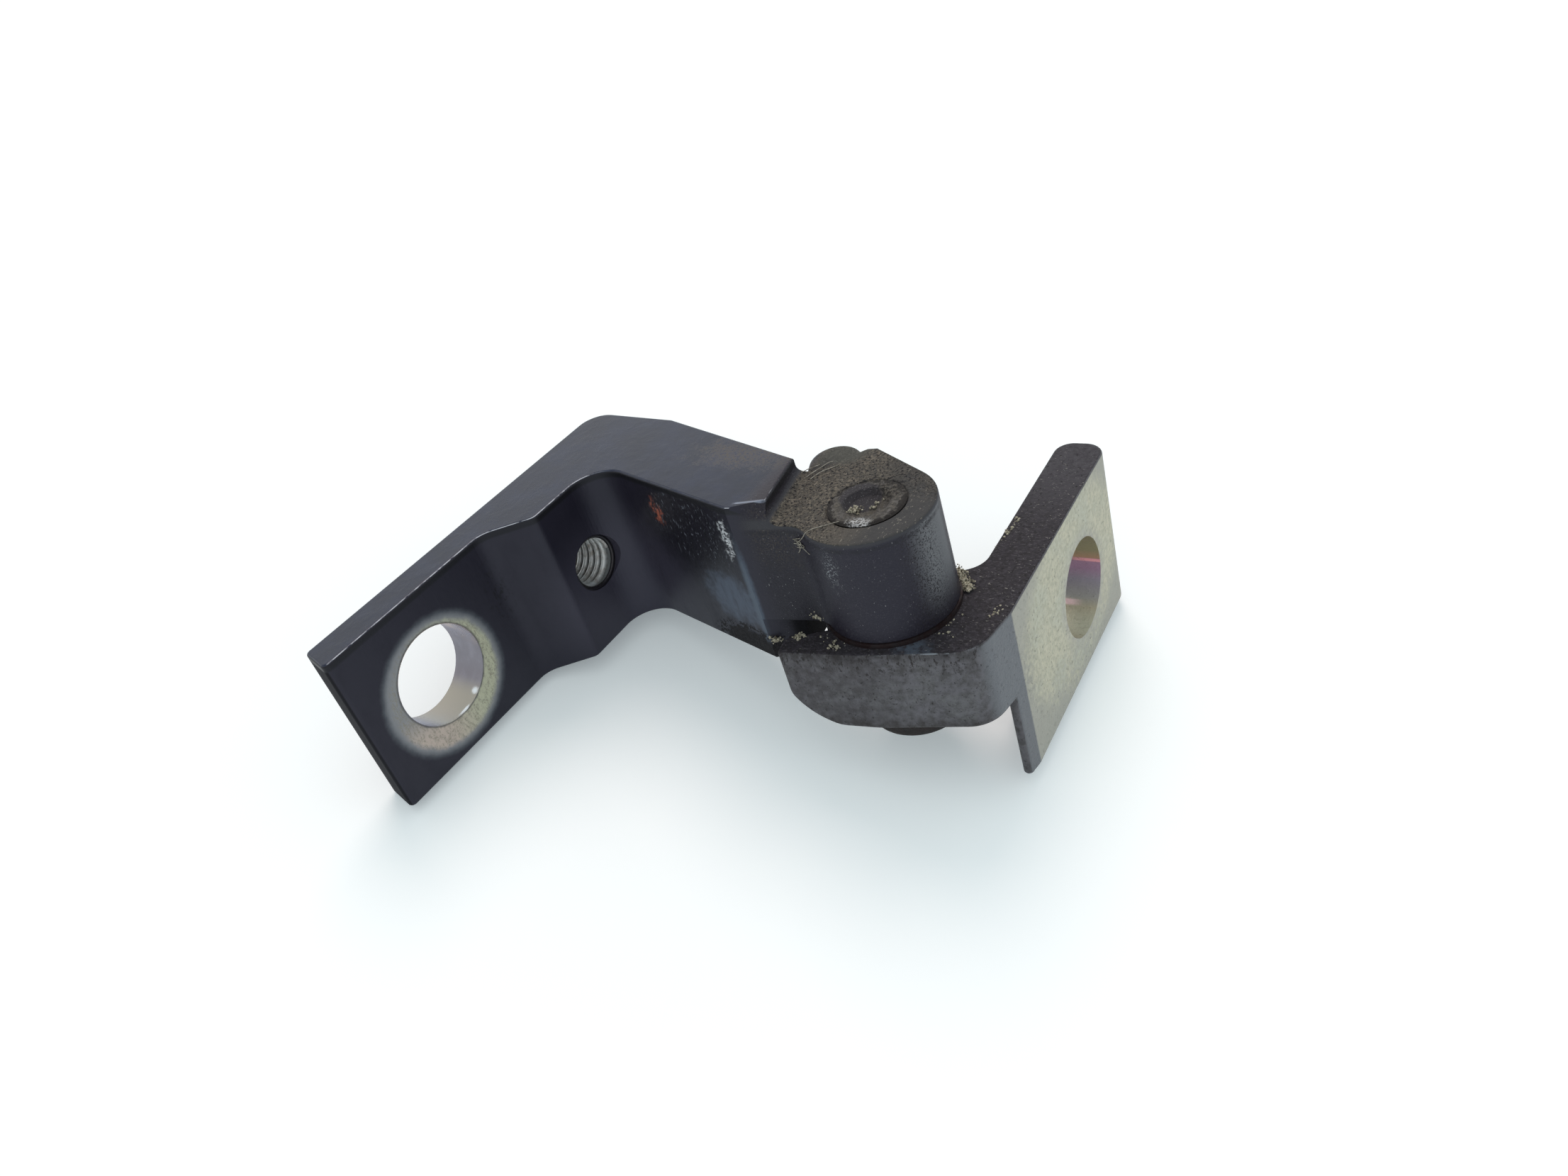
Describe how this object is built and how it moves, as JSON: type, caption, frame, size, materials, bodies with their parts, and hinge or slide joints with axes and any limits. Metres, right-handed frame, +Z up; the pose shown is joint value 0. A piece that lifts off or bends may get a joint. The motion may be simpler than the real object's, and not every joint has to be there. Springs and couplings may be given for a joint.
{
  "type": "vehicle door hinge",
  "caption": "Forged car door hinge: an angled pillar leaf and a flanged door leaf that turn on one headed, peened pin, with a stop finger that limits how far it opens.",
  "frame": {"origin": "where the axis of the pillar leaf's bolt hole meets its mounting face", "axes": "+Z up the hinge pin, towards its peened end; +Y out of the pillar leaf's mounting face; +X along that face from the bolt hole to the corner of the leaf"},
  "size_m": [0.1082, 0.0871, 0.0551],
  "materials": {
    "pillar_paint": "gloss black paint, scuffed and dusty",
    "door_paint": "satin dark grey coating, pitted",
    "pin_steel": "dull, browned",
    "bush_metal": "dark and greasy"
  },
  "bodies": {
    "pillar": {"pillar_leaf": "pillar_paint", "hinge_pin": "pin_steel"},
    "door": {"door_leaf": "door_paint", "upper_bush": "bush_metal", "lower_bush": "bush_metal"}
  },
  "joints": [
    {"name": "door_swing", "type": "hinge", "parent": "pillar", "child": "door", "pos_m": [0.0424, -0.0678, 0], "axis": [0, 0, 1], "range_deg": [-15, 80]}
  ]
}
